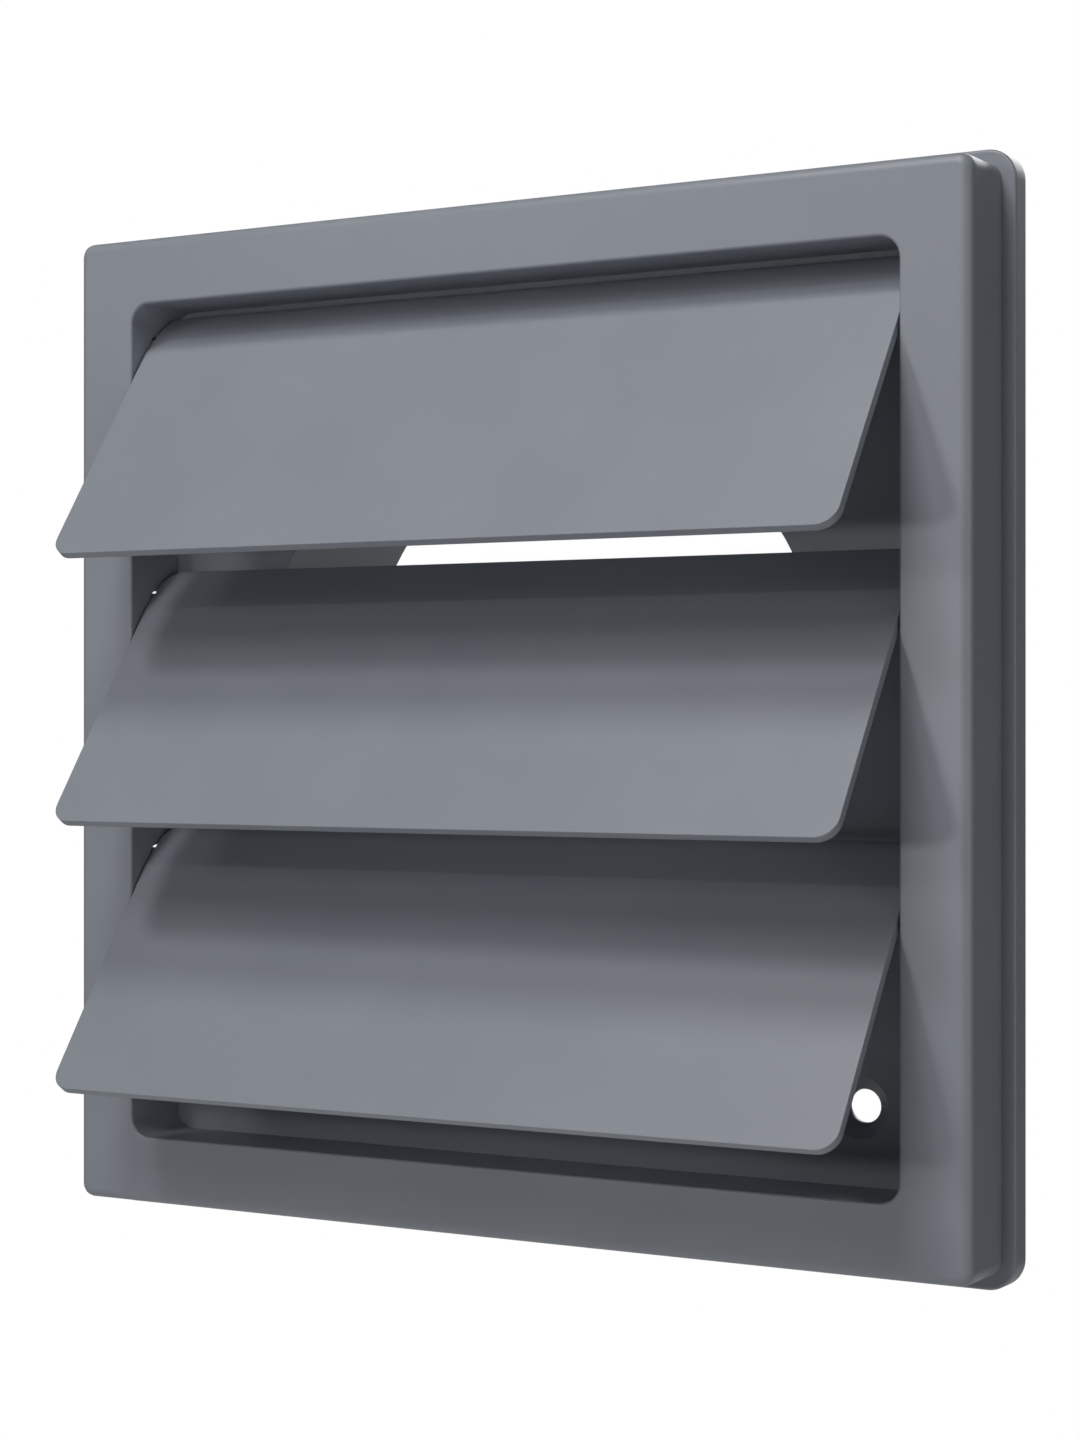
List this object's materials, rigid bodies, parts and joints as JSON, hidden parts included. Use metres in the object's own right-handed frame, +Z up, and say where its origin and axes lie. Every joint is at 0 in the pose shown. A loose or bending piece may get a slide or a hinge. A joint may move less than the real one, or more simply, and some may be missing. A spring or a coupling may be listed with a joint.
{
  "type": "louvred wall vent",
  "caption": "Square wall vent: overlapping gravity flaps hinged in a clip-on front cover, on a screwed back plate with a round duct spigot.",
  "frame": {"origin": "on the duct axis in the plane of the wall, at the centre of the back plate's rear face", "axes": "+Y into the wall along the spigot, +Z up, +X to the right as seen from the front; the flaps face -Y"},
  "size_m": [0.15, 0.0593, 0.15],
  "materials": {
    "cover_plastic": "smooth matte moulding",
    "plate_plastic": "smooth matte moulding",
    "flap_plastic": "smooth matte moulding"
  },
  "bodies": {
    "housing": {"front_cover": "cover_plastic", "back_plate": "plate_plastic"},
    "upper_flap": {"upper_flap": "flap_plastic"},
    "middle_flap": {"middle_flap": "flap_plastic"},
    "lower_flap": {"lower_flap": "flap_plastic"}
  },
  "joints": [
    {"name": "upper_flap_swing", "type": "hinge", "parent": "housing", "child": "upper_flap", "pos_m": [0, -0.0079, 0.05725], "axis": [-1, 0, 0], "range_deg": [-33.2, 44.8]},
    {"name": "middle_flap_swing", "type": "hinge", "parent": "housing", "child": "middle_flap", "pos_m": [0, -0.0079, 0.0183], "axis": [-1, 0, 0], "range_deg": [-33.2, 44.8]},
    {"name": "lower_flap_swing", "type": "hinge", "parent": "housing", "child": "lower_flap", "pos_m": [0, -0.0079, -0.02065], "axis": [-1, 0, 0], "range_deg": [-33.2, 44.8]}
  ],
  "couplings": [
    {"joint": "middle_flap_swing", "follows": "upper_flap_swing", "ratio": 1},
    {"joint": "lower_flap_swing", "follows": "upper_flap_swing", "ratio": 1}
  ]
}
